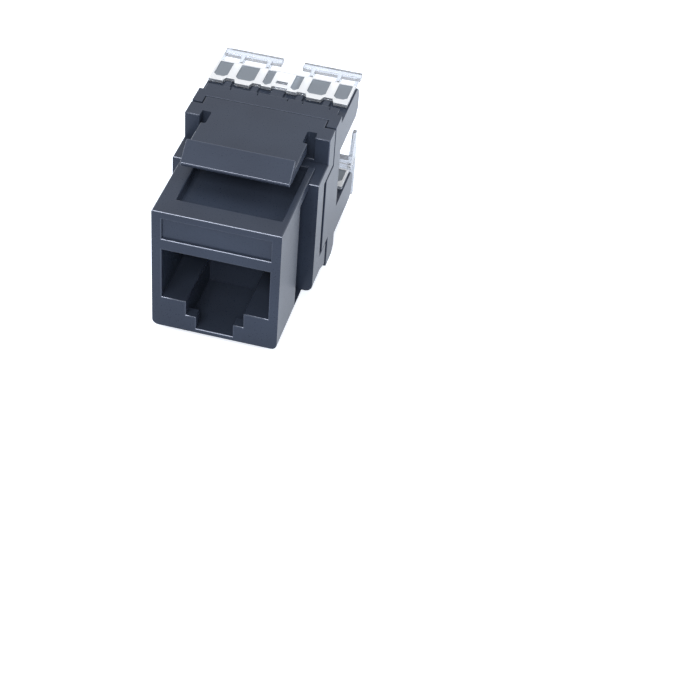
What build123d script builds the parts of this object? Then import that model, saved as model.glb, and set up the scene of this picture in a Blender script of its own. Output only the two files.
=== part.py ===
from build123d import *
import os

os.makedirs("parts", exist_ok=True)

# A punch-down keystone jack. X runs across the face, Y runs from the face to the wires, Z is up.
# Depths are measured from the face and heights from the underside of the face block, in millimetres.

# Clearances
seam_gap = 0.3
side_gap = 1.0
tight_gap = 0.04
fit_gap = 0.08
cap_gap = 0.12

# Face block
face_width = 14.7
face_height = 16.0
corner_radius = 0.7
base_drop = 0.75
label_recess_bottom = 12.35
label_recess_top = 15.05
label_recess_depth = 0.3

# Modular plug socket
socket_width = 12.4
socket_bottom = 4.2
socket_top = 10.87
lip_thickness = 1.5
tab_width = 6.7
tab_bottom = 2.25
keyway_width = 4.3
keyway_bottom = 0.55
tab_channel_depth = 9.0
contact_space_top = 13.4

# Rear body of the front housing
body_width = 17.1
shoulder_depth = 10.8
shoulder_bottom = 0.4
shoulder_top = 15.6
shoulder_radius = 0.9
slope_start = 14.3
slope_drop = 0.35
deck_front = 15.05
deck_top = 18.9
deck_thickness = 1.4
chamber_depth = 13.4
chamber_wall = 1.5
chamber_bottom = 1.0
chamber_top = 14.8

# Joint between the two housings
cheek_depth = 13.6
cheek_bottom = 3.6
cheek_top = 14.0
lower_joint_depth = 16.4
upper_joint_depth = 17.5
tongue_length = 1.55
tongue_width = 14.5

# Grooves for the edge of the panel
panel_front = 8.7
groove_front = 7.5
groove_depth = 0.9
groove_top = 14.75
lug_width = 8.0
lug_length = 1.3

# Latch
latch_width = 12.5
latch_thickness = 1.3
latch_nose_depth = 6.4
latch_nose_height = 18.2
latch_nose_bottom = 17.85
latch_root = 16.1
tooth_rise = 1.07
pocket_width = 13.5
relief_width = 1.1
relief_front = 13.7
recess_front = 2.75
recess_left = 5.4
recess_right = 6.54
recess_floor = 14.95
recess_back = 14.0

# Terminal block. A reach is a distance behind the back wall.
back_wall_thickness = 1.8
row_top = 17.95
row_thickness = 4.1
row_pitch = 12.05
row_reach = 8.35
row_nose_radius = 1.6
row_chin = 0.85
ledge_reach = 0.95
ledge_step_length = 1.3
ledge_step_width = 0.65
foot_chamfer = 0.85
outer_arm = 2.6
slot_pitch = 3.25
slot_width = 0.5
slot_reach = 3.05
funnel_width = 1.5
funnel_length = 2.2
funnel_taper = 0.8
finger_width = 0.75
centre_finger_width = 1.6
finger_height = 0.3
scoop_width = 3.2
scoop_reach = 3.35
scoop_floor_drop = 2.25
scoop_radius = 1.4
notch_width = 0.16
notch_length = 0.6
notch_offset = 0.9
notch_depth = 0.4

# Insulation displacement terminals
fork_thickness = 0.4
fork_width = 1.9
fork_gap = 0.3
fork_drop = 1.7
fork_reach = 7.65
throat_reach = 3.55
tail_width = 0.7

# Circuit board and contacts
board_thickness = 1.1
board_margin = 0.1
contact_count = 8
contact_pitch = 1.02
contact_width = 0.35
contact_thickness = 0.3
contact_height = 12.3
contact_front = 3.9
contact_bend = 0.32
contact_tip_depth = 12.6
contact_tip_height = 8.8
carrier_front = 12.0
comb_depth = 1.3
comb_top = 9.3
comb_slot = 0.6
rail_width = 1.2

# Wiring label
label_width = 14.6
label_height = 6.2
label_thickness = 0.1
label_radius = 1.0

# Clear caps. A reach is again a distance behind the back wall.
cap_side_step = 0.15
cap_thickness = 0.45
cap_reach = 2.55
cap_inner_step = 0.5
cap_setback = 0.6
cap_notch_slant = 0.28
cap_plate_reach = 6.9
cap_rib = 0.5
cap_border = 0.45
cap_centre_gap = 1.8
window_reach = 3.45
window_length = 3.15
window_corner = 0.4
window_depth = 0.1
window_border = 0.3
hole_reach = 4.15
hole_length = 0.6
hole_width = 1.35
bar_reach = 9.1
bar_length = 1.1
bar_gap = 2.6
frame_drop = 0.5
frame_thickness = 0.65
wall_drop = 4.7
wall_thickness = 0.6
ear_reach = 7.35
ear_tip_reach = 9.05
ear_tip_length = 0.7
ear_rise = 4.4
blade_thickness = 0.3
blade_drop = 1.2
blade_reach = 8.05

# Sizes worked out from the ones above
board_back = upper_joint_depth + tongue_length
board_front = board_back - board_thickness
back_wall = board_back + back_wall_thickness
foot_end = back_wall - foot_chamfer
ledge_end = back_wall + ledge_reach
row_end = back_wall + row_reach
slot_start = back_wall + slot_reach
scoop_start = back_wall + scoop_reach
fork_end = back_wall + fork_reach
fork_throat = back_wall + throat_reach
cap_front = back_wall + cap_reach
cap_notch_depth = slot_start + 2 * cap_gap
cap_centre_depth = scoop_start + cap_gap
cap_plate_end = back_wall + cap_plate_reach
hole_front = back_wall + hole_reach
bar_front = back_wall + bar_reach
cap_end = bar_front + bar_length
cap_bottom = row_top + cap_gap
face_y = -cap_end / 2
deck_bottom = deck_top - deck_thickness
row_bottom = row_top - row_thickness
outer_slot = body_width / 2 - outer_arm
inner_slot = outer_slot - slot_pitch
cap_width = body_width - 2 * cap_side_step
wing_corner = min(shoulder_radius, 0.8 * (body_width - face_width) / 2)
slots = [-outer_slot, -inner_slot, inner_slot, outer_slot]
cavity_half = body_width / 2 - chamber_wall
contact_bottom = contact_height - contact_thickness / 2 - fit_gap

# Planes whose origin is the middle of the face block's lower front edge
front = Plane(origin=(0, face_y, base_drop), x_dir=(1, 0, 0), z_dir=(0, -1, 0))
side = Plane(origin=(0, face_y, base_drop), x_dir=(0, 1, 0), z_dir=(1, 0, 0))
level = Plane(origin=(0, face_y, base_drop), x_dir=(1, 0, 0), z_dir=(0, 0, 1))


def block(left, right, near, far, bottom, top, mode=Mode.ADD):
    """A straight block between two sides, two depths and two heights."""
    with BuildSketch(level.offset(bottom)) as footprint:
        with Locations(((left + right) / 2, (near + far) / 2)):
            Rectangle(right - left, far - near)
    extrude(footprint.sketch, amount=top - bottom, mode=mode)


# Front housing: face block, shoulders, deck and latch in one moulding
with BuildPart() as front_housing:
    with BuildSketch(side):
        Polygon(
            (0, 0),
            (slope_start, 0),
            (lower_joint_depth, -slope_drop),
            (lower_joint_depth, cheek_bottom),
            (cheek_depth, cheek_bottom),
            (cheek_depth, face_height),
            (0, face_height),
            align=None,
        )
    extrude(amount=face_width / 2, both=True)
    lower_edges = front_housing.edges().filter_by(Axis.Y).group_by(Axis.Z)[0]
    fillet(lower_edges, corner_radius)

    # Shoulders that stop against the panel, and the walls behind them up to the joint
    with BuildSketch(side):
        Polygon(
            (shoulder_depth, shoulder_bottom),
            (slope_start, shoulder_bottom),
            (lower_joint_depth, -slope_drop),
            (lower_joint_depth, cheek_bottom),
            (cheek_depth, cheek_bottom),
            (cheek_depth, cheek_top),
            (upper_joint_depth, cheek_top),
            (upper_joint_depth, deck_top),
            (deck_front, deck_top),
            (deck_front, shoulder_top),
            (shoulder_depth, shoulder_top),
            align=None,
        )
    extrude(amount=body_width / 2, both=True)
    block(-tongue_width / 2, tongue_width / 2, deck_front, board_back, deck_bottom, deck_top)

    # Pocket in the deck that the latch moves in, and the recess in front of it
    block(
        -pocket_width / 2,
        pocket_width / 2,
        shoulder_depth,
        latch_root,
        face_height,
        deck_top,
        mode=Mode.SUBTRACT,
    )
    block(
        -recess_left,
        recess_right,
        recess_front,
        recess_back,
        recess_floor,
        face_height,
        mode=Mode.SUBTRACT,
    )

    # Latch: a springy plate that ends in a ramped tooth
    with BuildSketch(side):
        Polygon(
            (latch_root + deck_thickness, deck_top),
            (panel_front, deck_top),
            (panel_front, deck_top + tooth_rise),
            (latch_nose_depth, latch_nose_height),
            (latch_nose_depth, latch_nose_bottom),
            (latch_nose_depth + latch_thickness, deck_top - latch_thickness),
            (latch_root + deck_thickness, deck_top - latch_thickness),
            align=None,
        )
    extrude(amount=latch_width / 2, both=True)
    for hand in (-1, 1):
        with BuildSketch(level.offset(deck_top)):
            with Locations(
                (hand * (pocket_width - relief_width) / 2, (relief_front + latch_root) / 2)
            ):
                RectangleRounded(relief_width, latch_root - relief_front, relief_width / 4)
        extrude(amount=-(deck_top - face_height), mode=Mode.SUBTRACT)

    # Fixed lug that hooks behind the lower edge of the panel opening
    block(
        -lug_width / 2,
        lug_width / 2,
        panel_front - lug_length,
        panel_front,
        -base_drop,
        corner_radius,
    )

    # Grooves in both sides for the panel's edges
    for hand in (-1, 1):
        edge = hand * face_width / 2
        floor = hand * (face_width / 2 - groove_depth)
        block(
            min(edge, floor),
            max(edge, floor),
            groove_front,
            shoulder_depth,
            shoulder_bottom,
            groove_top,
            mode=Mode.SUBTRACT,
        )

    # Recess for a printed mark, left plain
    block(
        -socket_width / 2,
        socket_width / 2,
        0,
        label_recess_depth,
        label_recess_bottom,
        label_recess_top,
        mode=Mode.SUBTRACT,
    )

    # Socket: the stepped opening in the lip, then the wider room behind it
    with BuildSketch(front):
        Polygon(
            (-socket_width / 2, socket_top),
            (-socket_width / 2, socket_bottom),
            (-tab_width / 2, socket_bottom),
            (-tab_width / 2, tab_bottom),
            (-keyway_width / 2, tab_bottom),
            (-keyway_width / 2, keyway_bottom),
            (keyway_width / 2, keyway_bottom),
            (keyway_width / 2, tab_bottom),
            (tab_width / 2, tab_bottom),
            (tab_width / 2, socket_bottom),
            (socket_width / 2, socket_bottom),
            (socket_width / 2, socket_top),
            align=None,
        )
    extrude(amount=-lip_thickness, mode=Mode.SUBTRACT)
    block(
        -socket_width / 2,
        socket_width / 2,
        lip_thickness,
        chamber_depth,
        socket_bottom,
        contact_space_top,
        mode=Mode.SUBTRACT,
    )
    block(
        -tab_width / 2,
        tab_width / 2,
        lip_thickness,
        tab_channel_depth,
        keyway_bottom,
        socket_bottom,
        mode=Mode.SUBTRACT,
    )

    # Room for the carrier and the circuit board, open to the rear
    block(
        -cavity_half,
        cavity_half,
        chamber_depth,
        upper_joint_depth,
        chamber_bottom,
        chamber_top,
        mode=Mode.SUBTRACT,
    )

    # Rounded lower corners of the shoulders
    side_edges = front_housing.edges().filter_by(Plane.YZ).group_by(Axis.X)
    for group in (side_edges[0], side_edges[-1]):
        lower = group.filter_by_position(
            Axis.Z,
            -base_drop,
            base_drop + shoulder_bottom + tight_gap,
        )
        fillet(lower, wing_corner)
front_housing.part.label = "front_housing"
export_step(front_housing.part, "parts/front_housing.step")


# Terminal block: back wall, side cheeks and two rows of towers in one moulding
with BuildPart() as idc_housing:
    with BuildSketch(side):
        Polygon(
            (lower_joint_depth + side_gap, -base_drop),
            (foot_end, -base_drop),
            (back_wall, foot_chamfer - base_drop),
            (back_wall, row_top),
            (ledge_end, row_top),
            (ledge_end, deck_top),
            (upper_joint_depth + seam_gap, deck_top),
            (upper_joint_depth + seam_gap, cheek_top - seam_gap),
            (cheek_depth + side_gap, cheek_top - seam_gap),
            (cheek_depth + side_gap, cheek_bottom + tight_gap),
            (lower_joint_depth + side_gap, cheek_bottom + tight_gap),
            align=None,
        )
    extrude(amount=body_width / 2, both=True)
    for top in (row_top, row_top - row_pitch):
        bottom = top - row_thickness
        with BuildSketch(side):
            with BuildLine():
                Polyline(
                    (row_end, top - row_nose_radius),
                    (row_end, bottom + row_chin),
                    (row_end - row_chin, bottom),
                    (back_wall - row_chin, bottom),
                    (back_wall - row_chin, top),
                    (row_end - row_nose_radius, top),
                )
                RadiusArc(
                    (row_end - row_nose_radius, top),
                    (row_end, top - row_nose_radius),
                    row_nose_radius,
                )
            make_face()
        extrude(amount=body_width / 2, both=True)

    # Room for the circuit board in front of the back wall, and the gap in the deck for the tongue
    block(
        -cavity_half,
        cavity_half,
        cheek_depth,
        board_back,
        chamber_bottom,
        deck_bottom,
        mode=Mode.SUBTRACT,
    )
    block(
        -tongue_width / 2 - fit_gap,
        tongue_width / 2 + fit_gap,
        cheek_depth,
        board_back + fit_gap,
        deck_bottom - fit_gap,
        deck_top,
        mode=Mode.SUBTRACT,
    )

    for top in (row_top, row_top - row_pitch):
        bottom = top - row_thickness
        # Scoop in the middle of the row, open to the rear
        with BuildSketch(side):
            with BuildLine():
                floor = top - scoop_floor_drop
                Polyline(
                    (scoop_start, floor + scoop_radius),
                    (scoop_start, top),
                    (row_end, top),
                    (row_end, floor),
                    (scoop_start + scoop_radius, floor),
                )
                RadiusArc(
                    (scoop_start + scoop_radius, floor),
                    (scoop_start, floor + scoop_radius),
                    scoop_radius,
                )
            make_face()
        extrude(amount=scoop_width / 2, both=True, mode=Mode.SUBTRACT)

        # Wire slots with a wider mouth at the rear
        with BuildSketch(level.offset(bottom)):
            for slot in slots:
                with Locations((slot, (slot_start + row_end) / 2)):
                    Rectangle(slot_width, row_end - slot_start)
                Polygon(
                    (slot - slot_width / 2, row_end - funnel_length),
                    (slot - funnel_width / 2, row_end - funnel_length + funnel_taper),
                    (slot - funnel_width / 2, row_end),
                    (slot + funnel_width / 2, row_end),
                    (slot + funnel_width / 2, row_end - funnel_length + funnel_taper),
                    (slot + slot_width / 2, row_end - funnel_length),
                    align=None,
                )
        extrude(amount=row_thickness, mode=Mode.SUBTRACT)

        # Slits that hold the terminals, from the circuit board into the towers
        fork_middle = top - fork_drop
        with BuildSketch(level.offset(fork_middle - fork_thickness / 2 - fit_gap)):
            with Locations([(slot, (board_back + fork_end + fit_gap) / 2) for slot in slots]):
                Rectangle(fork_width + 2 * fit_gap, fork_end + fit_gap - board_back)
        extrude(amount=fork_thickness + 2 * fit_gap, mode=Mode.SUBTRACT)

        # Fingers over the front ends of the slots
        with BuildSketch(level.offset(top)):
            for slot in slots:
                with Locations((slot, (back_wall + slot_start) / 2)):
                    RectangleRounded(finger_width, slot_start - back_wall, finger_width / 4)
            with Locations((0, (back_wall + scoop_start) / 2)):
                Rectangle(centre_finger_width, scoop_start - back_wall)
        extrude(amount=finger_height)

    # Steps in the rear corners of the ledge
    for hand in (-1, 1):
        left, right = sorted([hand * body_width / 2, hand * (body_width / 2 - ledge_step_width)])
        block(left, right, ledge_end - ledge_step_length, ledge_end, row_top, deck_top, mode=Mode.SUBTRACT)

    # Short notches in the rear edge of the ledge, beside the fingers
    with BuildSketch(level.offset(deck_top)):
        notch_places = [slot + notch_offset for slot in slots] + [inner_slot - notch_offset]
        with Locations([(place, ledge_end - notch_length / 2) for place in notch_places]):
            Rectangle(notch_width, notch_length)
    extrude(amount=-notch_depth, mode=Mode.SUBTRACT)
idc_housing.part.label = "idc_housing"
export_step(idc_housing.part, "parts/idc_housing.step")

# Contact carrier: a block with a rail and a comb that keeps the contacts apart
with BuildPart() as contact_carrier:
    block(
        -cavity_half + fit_gap,
        cavity_half - fit_gap,
        chamber_depth + fit_gap,
        board_front - fit_gap,
        socket_bottom,
        chamber_top - fit_gap,
    )
    block(
        -socket_width / 2 + fit_gap,
        socket_width / 2 - fit_gap,
        carrier_front,
        chamber_depth + fit_gap,
        socket_bottom + fit_gap,
        comb_top,
    )
    block(
        -socket_width / 2 + fit_gap,
        socket_width / 2 - fit_gap,
        carrier_front,
        chamber_depth + fit_gap,
        contact_bottom - rail_width,
        contact_bottom,
    )
    with BuildSketch(level.offset(comb_top - comb_depth)):
        with Locations((0, carrier_front + comb_slot)):
            with GridLocations(contact_pitch, 1, contact_count, 1):
                Rectangle(comb_slot, 2 * comb_slot + 2 * fit_gap)
    extrude(amount=comb_depth, mode=Mode.SUBTRACT)
    # Passages for the contacts through the block to the circuit board
    with BuildSketch(front.offset(-board_front)):
        with Locations((0, contact_height)):
            with GridLocations(contact_pitch, 1, contact_count, 1):
                Rectangle(contact_width + 2 * fit_gap, contact_thickness + 2 * fit_gap)
    extrude(amount=board_front - chamber_depth, mode=Mode.SUBTRACT)
contact_carrier.part.label = "contact_carrier"
export_step(contact_carrier.part, "parts/contact_carrier.step")

# Circuit board between the contacts and the terminals
board_half = cavity_half - board_margin
with BuildPart() as circuit_board:
    with BuildSketch(front.offset(-board_back)):
        board_bottom = chamber_bottom + board_margin
        board_top = deck_bottom - fit_gap - board_margin
        with Locations((0, (board_bottom + board_top) / 2)):
            Rectangle(2 * board_half, board_top - board_bottom)
    extrude(amount=board_thickness)
circuit_board.part.label = "circuit_board"
export_step(circuit_board.part, "parts/circuit_board.step")

# Eight spring contacts: along the roof of the socket, round a bend and back down to the comb
for number in range(1, contact_count + 1):
    across = (number - (contact_count + 1) / 2) * contact_pitch
    with BuildPart() as contact:
        with BuildLine(side.offset(across)) as contact_path:
            bend_end = contact_height - 2 * contact_bend
            FilletPolyline(
                (board_front, contact_height),
                (contact_front, contact_height),
                (contact_front + contact_bend, bend_end),
                (contact_tip_depth, contact_tip_height),
                radius=contact_bend,
            )
        start = contact_path.line @ 0
        with BuildSketch(Plane(origin=start, x_dir=(1, 0, 0), z_dir=contact_path.line % 0)):
            Rectangle(contact_width, contact_thickness)
        sweep()
    contact.part.label = f"contact_{number}"
    export_step(contact.part, f"parts/contact_{number}.step")

# Forked terminals: a fork that cuts into the wire, and a tail that ends at the circuit board
for row_name, top in (("upper", row_top), ("lower", row_top - row_pitch)):
    fork_middle = top - fork_drop
    for number, slot in enumerate(slots, start=1):
        with BuildPart() as terminal:
            with BuildSketch(level.offset(fork_middle - fork_thickness / 2)):
                with Locations((slot, (back_wall + fork_end) / 2)):
                    Rectangle(fork_width, fork_end - back_wall)
                with Locations((slot, (board_back + back_wall) / 2)):
                    Rectangle(tail_width, back_wall - board_back)
                with Locations((slot, (fork_throat + fork_end) / 2)):
                    Rectangle(fork_gap, fork_end - fork_throat, mode=Mode.SUBTRACT)
            extrude(amount=fork_thickness)
        terminal.part.label = f"{row_name}_terminal_{number}"
        export_step(terminal.part, f"parts/{row_name}_terminal_{number}.step")

# Wiring label on the back wall, between the rows
label_middle = (row_bottom + row_top - row_pitch) / 2
with BuildPart() as wiring_label:
    with BuildSketch(front.offset(-back_wall)):
        with Locations((0, label_middle)):
            RectangleRounded(label_width, label_height, label_radius)
    extrude(amount=-label_thickness)
wiring_label.part.label = "wiring_label"
export_step(wiring_label.part, "parts/wiring_label.step")

# Clear caps, one on top of each row. The lower one starts further back, and has a wall behind the row
# and an ear at each side.
caps = (("top_cap", 0, 0, False), ("bottom_cap", -row_pitch, cap_setback, True))
for cap_name, lift, setback, walled in caps:
    with BuildPart() as cap:
        # Plate with a notch for each finger along its front edge, and a small hole over the scoop
        plate_bottom = cap_bottom + lift
        plate_top = plate_bottom + cap_thickness
        frame_bottom = plate_bottom - frame_drop
        frame_top = frame_bottom + frame_thickness
        with BuildSketch(level.offset(plate_bottom)):
            plate_front = cap_front + setback
            with Locations((0, (plate_front + cap_plate_end) / 2)):
                Rectangle(cap_width, cap_plate_end - plate_front)
            for place in slots:
                half = finger_width / 2 + cap_gap
                Polygon(
                    (place - half, cap_notch_depth),
                    (place - half - cap_notch_slant, cap_front),
                    (place + half + cap_notch_slant, cap_front),
                    (place + half, cap_notch_depth),
                    align=None,
                    mode=Mode.SUBTRACT,
                )
            with Locations((0, cap_front + cap_inner_step / 2)):
                Rectangle(2 * inner_slot, cap_inner_step, mode=Mode.SUBTRACT)
            with Locations((0, (cap_front + cap_centre_depth) / 2)):
                centre_notch = centre_finger_width + 2 * cap_gap
                Rectangle(centre_notch, cap_centre_depth - cap_front, mode=Mode.SUBTRACT)
            with Locations((0, hole_front + hole_length / 2)):
                Rectangle(hole_width, hole_length, mode=Mode.SUBTRACT)
        extrude(amount=cap_thickness)

        # Ribs that run on to the rear bars, with blades that press the wires into the forks
        for place in slots:
            left = place - cap_rib / 2
            right = place + cap_rib / 2
            block(left, right, cap_plate_end - cap_border, cap_end, frame_bottom, frame_top)
            left = place - blade_thickness / 2
            right = place + blade_thickness / 2
            blade_end = back_wall + blade_reach
            block(left, right, cap_notch_depth, blade_end, plate_bottom - blade_drop, plate_bottom)

        for hand in (-1, 1):
            # Rails along the outer edges, and rear bars on each side of the middle
            outer = hand * cap_width / 2
            inner = hand * (cap_width / 2 - cap_border)
            left, right = sorted([inner, outer])
            block(left, right, cap_plate_end, cap_end, plate_bottom, frame_top)
            left, right = sorted([hand * bar_gap / 2, outer])
            block(left, right, bar_front, cap_end, frame_bottom, frame_top)
            if walled:
                block(
                    left,
                    right,
                    cap_end - wall_thickness,
                    cap_end,
                    frame_bottom - wall_drop,
                    frame_bottom,
                )
                ear_top = plate_bottom + ear_rise
                ear_tip = back_wall + ear_tip_reach
                with BuildSketch(side.offset(inner)):
                    Polygon(
                        (back_wall + ear_reach, plate_bottom),
                        (cap_end, plate_bottom),
                        (cap_end, frame_top),
                        (ear_tip + ear_tip_length, ear_top),
                        (ear_tip, ear_top),
                        align=None,
                    )
                extrude(amount=hand * cap_border)

        # Shallow windows in the plate, with their front corners cut off
        with BuildSketch(level.offset(plate_top)):
            window_front = back_wall + window_reach + setback
            window_middle = window_front + (window_length - setback) / 2
            for hand in (-1, 1):
                spans = (
                    (cap_centre_gap / 2 + window_border, inner_slot - cap_rib),
                    (inner_slot + cap_rib, outer_slot - cap_rib),
                    (outer_slot + cap_rib, cap_width / 2 - window_border),
                )
                for near, far in spans:
                    with Locations((hand * (near + far) / 2, window_middle)):
                        Rectangle(far - near, window_length - setback)
            chamfer(vertices(Select.ALL).group_by(Axis.Y)[0], window_corner)
        extrude(amount=-window_depth, mode=Mode.SUBTRACT)
    cap.part.label = cap_name
    export_step(cap.part, f"parts/{cap_name}.step")
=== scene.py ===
import bmesh
import bpy
from mathutils import Euler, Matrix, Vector


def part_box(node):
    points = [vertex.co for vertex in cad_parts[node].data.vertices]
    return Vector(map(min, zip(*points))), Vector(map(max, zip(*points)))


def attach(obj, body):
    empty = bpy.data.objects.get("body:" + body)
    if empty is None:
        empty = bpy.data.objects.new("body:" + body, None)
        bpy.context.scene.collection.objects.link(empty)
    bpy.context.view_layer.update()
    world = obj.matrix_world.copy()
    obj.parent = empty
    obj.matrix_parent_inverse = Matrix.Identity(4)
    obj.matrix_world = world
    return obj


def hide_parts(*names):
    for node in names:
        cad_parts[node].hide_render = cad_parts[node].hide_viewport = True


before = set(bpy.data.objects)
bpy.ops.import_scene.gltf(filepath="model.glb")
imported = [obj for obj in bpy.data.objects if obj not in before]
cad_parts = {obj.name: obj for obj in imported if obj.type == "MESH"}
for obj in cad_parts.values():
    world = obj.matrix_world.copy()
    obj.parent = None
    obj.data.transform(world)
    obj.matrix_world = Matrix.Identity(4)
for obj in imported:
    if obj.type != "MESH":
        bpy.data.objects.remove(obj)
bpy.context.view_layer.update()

# The camera looks down on the face from the front right, as a product photograph does.
# Its place and lens were fitted to the jack's own face block, so nothing is shifted.
camera = bpy.data.cameras.new("camera")
camera.sensor_width = 36
camera.lens = 89.478
camera.clip_start = 0.005
camera_object = bpy.data.objects.new("camera", camera)
camera_object.location = (0.04305268, -0.15859561, 0.13023368)
camera_object.rotation_euler = Euler((0.85127951, -0.06764741, 0.24754869), "XYZ")
bpy.context.collection.objects.link(camera_object)
scene = bpy.context.scene
scene.camera = camera_object
scene.view_settings.view_transform = "Standard"


def srgb(code):
    """An sRGB hex colour as the linear colour that the shaders take."""
    channels = [int(code[i : i + 2], 16) / 255 for i in (0, 2, 4)]
    return [c / 12.92 if c <= 0.04045 else ((c + 0.055) / 1.055) ** 2.4 for c in channels] + [1]


def add(tree, kind, links=(), **settings):
    """Adds a node, sets its sockets and properties, and links (output, input name) pairs into it."""
    node = tree.nodes.new(kind)
    for name, value in settings.items():
        if name.startswith("at_"):
            key = name[3:]
            node.inputs[int(key) if key.isdigit() else key.replace("_", " ")].default_value = value
        else:
            setattr(node, name, value)
    for output, name in links:
        tree.links.new(output, node.inputs[name])
    return node


# The floor: a sheet of white paper under the jack that only takes its shadow.
# Its faint blue is what the jack's right side and the clear caps reflect.
floor_mesh = bpy.data.meshes.new("floor")
shape = bmesh.new()
bmesh.ops.create_grid(shape, x_segments=1, y_segments=1, size=3)
shape.to_mesh(floor_mesh)
shape.free()
floor = bpy.data.objects.new("floor", floor_mesh)
bpy.context.collection.objects.link(floor)
paper = bpy.data.materials.new("white_paper")
paper.use_nodes = True
tree = paper.node_tree
tree.nodes.clear()
path = add(tree, "ShaderNodeLightPath")
plain = add(
    tree,
    "ShaderNodeMath",
    [(path.outputs["Is Camera Ray"], 0), (path.outputs["Is Transmission Ray"], 1)],
    operation="MAXIMUM",
)
seen = add(
    tree,
    "ShaderNodeMath",
    [(path.outputs["Is Glossy Ray"], 0), (plain.outputs[0], 2)],
    operation="MULTIPLY_ADD",
    at_1=0.6,
)
sheet = add(tree, "ShaderNodeBsdfDiffuse", at_Color=srgb("e6eefa"))
glow = add(tree, "ShaderNodeEmission", at_Color=srgb("ffffff"), at_Strength=0.5)
both = add(tree, "ShaderNodeAddShader", [(sheet.outputs[0], 0), (glow.outputs[0], 1)])
mix = add(
    tree,
    "ShaderNodeMixShader",
    [(seen.outputs[0], 0), (sheet.outputs[0], 1), (both.outputs[0], 2)],
)
add(tree, "ShaderNodeOutputMaterial", [(mix.outputs[0], "Surface")])
floor_mesh.materials.append(paper)

# The studio round the jack is white where the camera or a reflection sees it,
# and a weaker, slightly blue fill where it only lights.
world = bpy.data.worlds.new("studio")
world.use_nodes = True
scene.world = world
tree = world.node_tree
tree.nodes.clear()
path = add(tree, "ShaderNodeLightPath")
plain = add(
    tree,
    "ShaderNodeMath",
    [(path.outputs["Is Camera Ray"], 0), (path.outputs["Is Transmission Ray"], 1)],
    operation="MAXIMUM",
)
seen = add(
    tree,
    "ShaderNodeMath",
    [(plain.outputs[0], 0), (path.outputs["Is Glossy Ray"], 1)],
    operation="MAXIMUM",
)
backdrop = add(tree, "ShaderNodeBackground", at_Color=srgb("ffffff"), at_Strength=1.0)
fill = add(tree, "ShaderNodeBackground", at_Color=srgb("eef2f8"), at_Strength=0.35)
mix = add(
    tree,
    "ShaderNodeMixShader",
    [(seen.outputs[0], 0), (fill.outputs[0], 1), (backdrop.outputs[0], 2)],
)
add(tree, "ShaderNodeOutputWorld", [(mix.outputs[0], "Surface")])


def soft_box(name, place, width, height, power):
    """A soft box that faces the jack."""
    light = bpy.data.lights.new(name, "AREA")
    light.shape = "RECTANGLE"
    light.size = width
    light.size_y = height
    light.energy = power
    lamp = bpy.data.objects.new(name, light)
    lamp.location = place
    lamp.rotation_euler = (Vector((0, 0, 0.01)) - Vector(place)).to_track_quat("-Z", "Y").to_euler()
    bpy.context.collection.objects.link(lamp)


# Place, width and height in metres, and power in watts. The front one stands near the camera
# and lights the socket, and the edge one stands above it, where rounded edges reflect it.
soft_box("top_light", (-0.05, 0.12, 0.5), 0.5, 0.5, 1.1)
soft_box("right_light", (0.5, 0.05, 0.3), 0.3, 0.4, 1.4)
soft_box("front_light", (0.1, -0.46, 0.36), 0.12, 0.12, 1.6)
soft_box("edge_light", (-0.14, -0.4, 0.5), 0.2, 0.16, 1.6)
soft_box("left_light", (-0.45, 0.1, 0.35), 0.3, 0.3, 0.6)

# The two black mouldings: face block with latch and shoulders, and terminal block with its towers.
# Both are injection-moulded polycarbonate with a fine spark-eroded skin and small mould radii.
# The contact carrier inside the socket is moulded of the same plastic.


def black_polycarbonate(name, shine, smooth, rough):
    """Black polycarbonate with a slow change of tone and a grain that breaks up its gloss."""
    material = bpy.data.materials.new(name)
    material.use_nodes = True
    tree = material.node_tree
    tree.nodes.clear()
    coords = add(tree, "ShaderNodeTexCoord")
    # Grains of about 0.15 mm give the skin its satin, and a slow change over 8 mm
    # keeps it from looking flat
    grain = add(
        tree,
        "ShaderNodeTexNoise",
        [(coords.outputs["Object"], "Vector")],
        at_Scale=1 / 0.00015,
        at_Detail=2.0,
    )
    drift = add(
        tree,
        "ShaderNodeTexNoise",
        [(coords.outputs["Object"], "Vector")],
        at_Scale=1 / 0.008,
        at_Detail=2.0,
    )
    tone = add(tree, "ShaderNodeValToRGB", [(drift.outputs["Fac"], "Fac")])
    tone.color_ramp.elements[0].position = 0.3
    tone.color_ramp.elements[0].color = srgb("292f3b")
    tone.color_ramp.elements[1].position = 0.7
    tone.color_ramp.elements[1].color = srgb("2e3542")
    gloss = add(
        tree,
        "ShaderNodeMapRange",
        [(grain.outputs["Fac"], "Value")],
        at_From_Min=0.3,
        at_From_Max=0.7,
        at_To_Min=smooth,
        at_To_Max=rough,
    )
    skin = add(
        tree,
        "ShaderNodeBump",
        [(grain.outputs["Fac"], "Height")],
        at_Strength=0.06,
        at_Distance=0.00001,
    )
    surface = add(
        tree,
        "ShaderNodeBsdfPrincipled",
        [
            (tone.outputs["Color"], "Base Color"),
            (gloss.outputs["Result"], "Roughness"),
            (skin.outputs["Normal"], "Normal"),
        ],
        at_IOR=1.45,
        at_Specular_IOR_Level=shine,
        at_Specular_Tint=srgb("e4ebff"),
    )
    add(tree, "ShaderNodeOutputMaterial", [(surface.outputs[0], "Surface")])
    return material


# The spark-eroded faces are satin, and the radii between them came off a polished edge of the mould
moulded_black = black_polycarbonate("moulded_black_polycarbonate", 0.3, 0.27, 0.31)
polished_black = black_polycarbonate("polished_black_edge", 0.85, 0.14, 0.18)

# Angles in radians: an edge sharper than the first is a corner of the real piece, and a strip
# of a radius that meets such a corner is split from its neighbour above the second
corner_angle = 0.6
split_angle = 0.2


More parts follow.
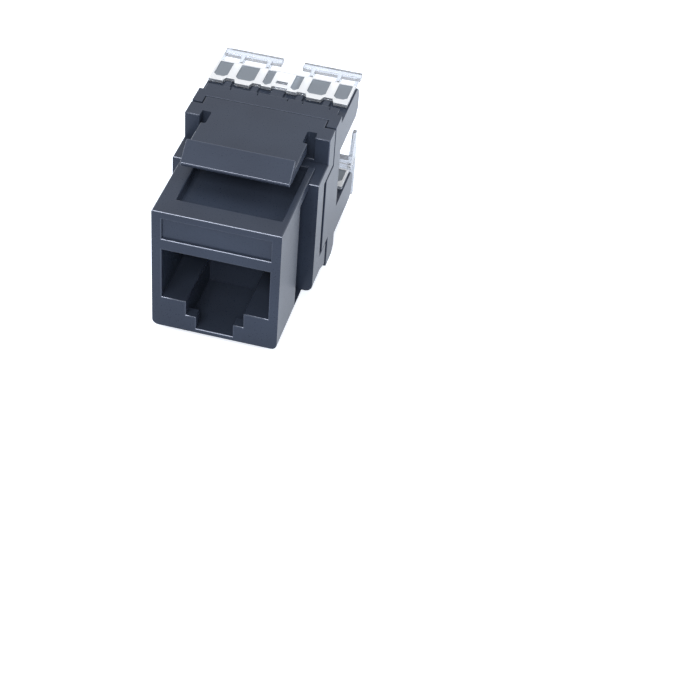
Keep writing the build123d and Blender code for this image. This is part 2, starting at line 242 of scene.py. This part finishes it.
def moulding(node, body, material, radius, edge_material=None):
    """A copy of a CAD node with its faces joined and its edges rounded as a mould leaves them."""
    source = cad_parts[node]
    shape = bmesh.new()
    shape.from_mesh(source.data)
    bmesh.ops.remove_doubles(shape, verts=shape.verts, dist=0.000001)
    bmesh.ops.dissolve_limit(
        shape,
        angle_limit=0.01,
        verts=shape.verts,
        edges=shape.edges,
        delimit={"NORMAL"},
    )
    # An edge is rounded where nothing round it is too short to take the radius
    shortest = 2.2 * radius
    cramped = set()
    for edge in shape.edges:
        if edge.calc_length() < shortest:
            cramped.update(edge.verts)
    sharp = [
        edge
        for edge in shape.edges
        if edge.is_convex and edge.calc_face_angle() > corner_angle and cramped.isdisjoint(edge.verts)
    ]
    rounded = bmesh.ops.bevel(
        shape,
        geom=sharp,
        offset=radius,
        offset_type="OFFSET",
        affect="EDGES",
        segments=3,
        profile=0.5,
        material=-1,
    )
    if edge_material:
        for face in rounded["faces"]:
            face.material_index = 1
    for face in shape.faces:
        face.smooth = True
    # A radius that ends at a sharp corner is split there, so the flat faces beside it shade flat
    corners = set()
    for edge in shape.edges:
        if edge.calc_face_angle(0) > corner_angle:
            corners.update(edge.verts)
    radii = set(rounded["faces"])
    for edge in shape.edges:
        ends = not corners.isdisjoint(edge.verts) and not radii.isdisjoint(edge.link_faces)
        edge.smooth = edge.calc_face_angle(0) < (split_angle if ends else corner_angle)
    mesh = bpy.data.meshes.new(node + "_moulding")
    shape.to_mesh(mesh)
    shape.free()
    mesh.materials.append(material)
    if edge_material:
        mesh.materials.append(edge_material)
    piece = bpy.data.objects.new(node + "_moulding", mesh)
    bpy.context.collection.objects.link(piece)
    level = piece.modifiers.new("level_faces", "WEIGHTED_NORMAL")
    level.mode = "FACE_AREA"
    level.weight = 50
    level.keep_sharp = True
    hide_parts(node)
    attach(piece, body)
    return piece


moulding("front_housing", "jack", moulded_black, radius=0.00012, edge_material=polished_black)
moulding("idc_housing", "jack", moulded_black, radius=0.00009)
moulding("contact_carrier", "jack", moulded_black, radius=0.00006, edge_material=polished_black)

# The circuit board: glass-fibre laminate under a green solder resist, between contacts and terminals.
# The weave under the resist, about 0.5 mm wide, gives the eye a faint mottling.
solder_resist = bpy.data.materials.new("green_solder_resist")
solder_resist.use_nodes = True
tree = solder_resist.node_tree
tree.nodes.clear()
coords = add(tree, "ShaderNodeTexCoord")
weave = add(
    tree,
    "ShaderNodeTexNoise",
    [(coords.outputs["Object"], "Vector")],
    at_Scale=1 / 0.0005,
    at_Detail=2.0,
)
tone = add(tree, "ShaderNodeValToRGB", [(weave.outputs["Fac"], "Fac")])
tone.color_ramp.elements[0].color = srgb("12452b")
tone.color_ramp.elements[1].color = srgb("1c5a3a")
surface = add(
    tree,
    "ShaderNodeBsdfPrincipled",
    [(tone.outputs["Color"], "Base Color")],
    at_Roughness=0.35,
    at_IOR=1.5,
)
add(tree, "ShaderNodeOutputMaterial", [(surface.outputs[0], "Surface")])
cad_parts["circuit_board"].data.materials.clear()
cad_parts["circuit_board"].data.materials.append(solder_resist)

# The eight spring contacts: phosphor bronze strip with a gold flash, stamped and bent.
# Rolling marks of about 0.4 mm vary the gloss, which gives the eye a soft yellow sheen.
gold_flash = bpy.data.materials.new("gold_flashed_bronze")
gold_flash.use_nodes = True
tree = gold_flash.node_tree
tree.nodes.clear()
coords = add(tree, "ShaderNodeTexCoord")
roll_marks = add(
    tree,
    "ShaderNodeTexNoise",
    [(coords.outputs["Object"], "Vector")],
    at_Scale=1 / 0.0004,
    at_Detail=3.0,
)
gloss = add(
    tree,
    "ShaderNodeMapRange",
    [(roll_marks.outputs["Fac"], "Value")],
    at_To_Min=0.22,
    at_To_Max=0.38,
)
surface = add(
    tree,
    "ShaderNodeBsdfPrincipled",
    [(gloss.outputs["Result"], "Roughness")],
    at_Base_Color=srgb("d9b063"),
    at_Metallic=1.0,
)
add(tree, "ShaderNodeOutputMaterial", [(surface.outputs[0], "Surface")])
for number in range(1, 9):
    moulding(f"contact_{number}", "jack", gold_flash, radius=0.00004)

# The forked terminals: bronze stamped flat and tinned, standing in the slots of the towers.
# The tin's spangle of about 0.6 mm varies the gloss, which gives the eye a dull silver.
tinned_bronze = bpy.data.materials.new("tinned_bronze")
tinned_bronze.use_nodes = True
tree = tinned_bronze.node_tree
tree.nodes.clear()
coords = add(tree, "ShaderNodeTexCoord")
spangle = add(
    tree,
    "ShaderNodeTexNoise",
    [(coords.outputs["Object"], "Vector")],
    at_Scale=1 / 0.0006,
    at_Detail=3.0,
)
gloss = add(
    tree,
    "ShaderNodeMapRange",
    [(spangle.outputs["Fac"], "Value")],
    at_To_Min=0.28,
    at_To_Max=0.48,
)
surface = add(
    tree,
    "ShaderNodeBsdfPrincipled",
    [(gloss.outputs["Result"], "Roughness")],
    at_Base_Color=srgb("c9cbcc"),
    at_Metallic=1.0,
)
add(tree, "ShaderNodeOutputMaterial", [(surface.outputs[0], "Surface")])
for row in ("upper", "lower"):
    for number in range(1, 5):
        moulding(f"{row}_terminal_{number}", "jack", tinned_bronze, radius=0.00003)

# The wiring label: a printed film on the back wall, with one colour field for each wire pair.
# The fields are placed in millimetres across (X) and up (Z).
printed_film = bpy.data.materials.new("printed_polyester_film")
printed_film.use_nodes = True
tree = printed_film.node_tree
tree.nodes.clear()
coords = add(tree, "ShaderNodeTexCoord")
split = add(tree, "ShaderNodeSeparateXYZ", [(coords.outputs["Object"], "Vector")])


def field(left, right, bottom, top):
    """1 inside a field of the label, 0 outside, from its edges in millimetres."""
    inside = None
    for output, low, high in ((split.outputs["X"], left, right), (split.outputs["Z"], bottom, top)):
        over = add(tree, "ShaderNodeMath", [(output, 0)], operation="GREATER_THAN", at_1=low / 1000)
        under = add(tree, "ShaderNodeMath", [(output, 0)], operation="LESS_THAN", at_1=high / 1000)
        band = add(
            tree, "ShaderNodeMath", [(over.outputs[0], 0), (under.outputs[0], 1)], operation="MULTIPLY"
        )
        if inside is None:
            inside = band
        else:
            inside = add(
                tree, "ShaderNodeMath", [(inside.outputs[0], 0), (band.outputs[0], 1)], operation="MULTIPLY"
            )
    return inside.outputs[0]


def paint(under, mask, code):
    """Lays a colour over what is there where the mask is 1."""
    coat = add(tree, "ShaderNodeMix", [(mask, 0), (under, 6)], data_type="RGBA", at_7=srgb(code))
    return coat.outputs[2]


# The film's ground is an uneven grey that changes over about 2 mm
ink = add(tree, "ShaderNodeTexNoise", [(coords.outputs["Object"], "Vector")], at_Scale=1 / 0.002)
ground = add(tree, "ShaderNodeValToRGB", [(ink.outputs["Fac"], "Fac")])
ground.color_ramp.elements[0].color = srgb("a4a9ae")
ground.color_ramp.elements[1].color = srgb("b4b8bc")
colour = ground.outputs["Color"]
# Left, right, bottom and top edge of each field, and its colour
for left, right, bottom, top, code in (
    (5.35, 6.84, 9.95, 12.6, "e8eaec"),
    (-0.25, 5.3, 8.9, 11.6, "2a6b3c"),
    (-0.25, 5.3, 6.4, 8.9, "a8603c"),
    (-7.0, -2.3, 6.4, 8.9, "2b62a0"),
    (-7.0, -2.3, 8.9, 11.6, "7a4a2c"),
):
    colour = paint(colour, field(left, right, bottom, top), code)
surface = add(
    tree,
    "ShaderNodeBsdfPrincipled",
    [(colour, "Base Color")],
    at_Roughness=0.3,
    at_IOR=1.5,
)
add(tree, "ShaderNodeOutputMaterial", [(surface.outputs[0], "Surface")])
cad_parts["wiring_label"].data.materials.clear()
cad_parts["wiring_label"].data.materials.append(printed_film)

# The two clear caps: thin polycarbonate mouldings that press the wires into the forks.
# Their bars, walls and ears are polished, so they look like glass with pale grey edges.
clear_polycarbonate = bpy.data.materials.new("clear_polycarbonate")
clear_polycarbonate.use_nodes = True
tree = clear_polycarbonate.node_tree
tree.nodes.clear()
coords = add(tree, "ShaderNodeTexCoord")
# The plate's skin is frosted by the mould and looks white. Its windows are painted a flat grey: partly the
# black rows seen through them, partly painted shade in the hollows under them.
# A window's face lies 0.1 mm under the plate's, so height tells them apart.
split = add(tree, "ShaderNodeSeparateXYZ", [(coords.outputs["Object"], "Vector")])
plate_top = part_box("top_cap")[1][2]
row_pitch = 0.01205


def layer(low, high):
    """1 between two depths in millimetres under either plate's top, 0 elsewhere."""
    bands = []
    for top in (plate_top, plate_top - row_pitch):
        middle = top - (low + high) / 2000
        bands.append(
            add(
                tree,
                "ShaderNodeMath",
                [(split.outputs["Z"], 0)],
                operation="COMPARE",
                at_1=middle,
                at_2=(high - low) / 2000,
            )
        )
    both = add(
        tree, "ShaderNodeMath", [(bands[0].outputs[0], 0), (bands[1].outputs[0], 1)], operation="ADD"
    )
    return both.outputs[0]


# The frosting's grain is finer than shows, so it is drawn about 0.4 mm wide
haze = add(
    tree,
    "ShaderNodeTexNoise",
    [(coords.outputs["Object"], "Vector")],
    at_Scale=1 / 0.0004,
    at_Detail=2.0,
)
etch = add(
    tree,
    "ShaderNodeMapRange",
    [(haze.outputs["Fac"], "Value")],
    at_To_Min=0.3,
    at_To_Max=0.5,
)
polished = add(
    tree,
    "ShaderNodeBsdfPrincipled",
    at_Base_Color=srgb("cdd1d8"),
    at_Roughness=0.12,
    at_IOR=1.45,
    at_Transmission_Weight=0.8,
)
frosted = add(
    tree,
    "ShaderNodeBsdfPrincipled",
    [(etch.outputs["Result"], "Roughness")],
    at_Base_Color=srgb("e9ebee"),
    at_IOR=1.45,
    at_Transmission_Weight=0.3,
)
# Painted shade: the windows' flat grey stands for the black rows seen through them and the shade under them
seen_rows_and_shade = add(
    tree,
    "ShaderNodeBsdfPrincipled",
    [(etch.outputs["Result"], "Roughness")],
    at_Base_Color=srgb("79818b"),
    at_IOR=1.45,
    at_Transmission_Weight=0.3,
)
windows = add(
    tree,
    "ShaderNodeMixShader",
    [(layer(0.05, 0.15), 0), (polished.outputs[0], 1), (seen_rows_and_shade.outputs[0], 2)],
)
surface = add(
    tree,
    "ShaderNodeMixShader",
    [(layer(-0.05, 0.05), 0), (windows.outputs[0], 1), (frosted.outputs[0], 2)],
)
add(tree, "ShaderNodeOutputMaterial", [(surface.outputs[0], "Surface")])
moulding("top_cap", "upper_wire_cap", clear_polycarbonate, radius=0.00006)
moulding("bottom_cap", "lower_wire_cap", clear_polycarbonate, radius=0.00006)
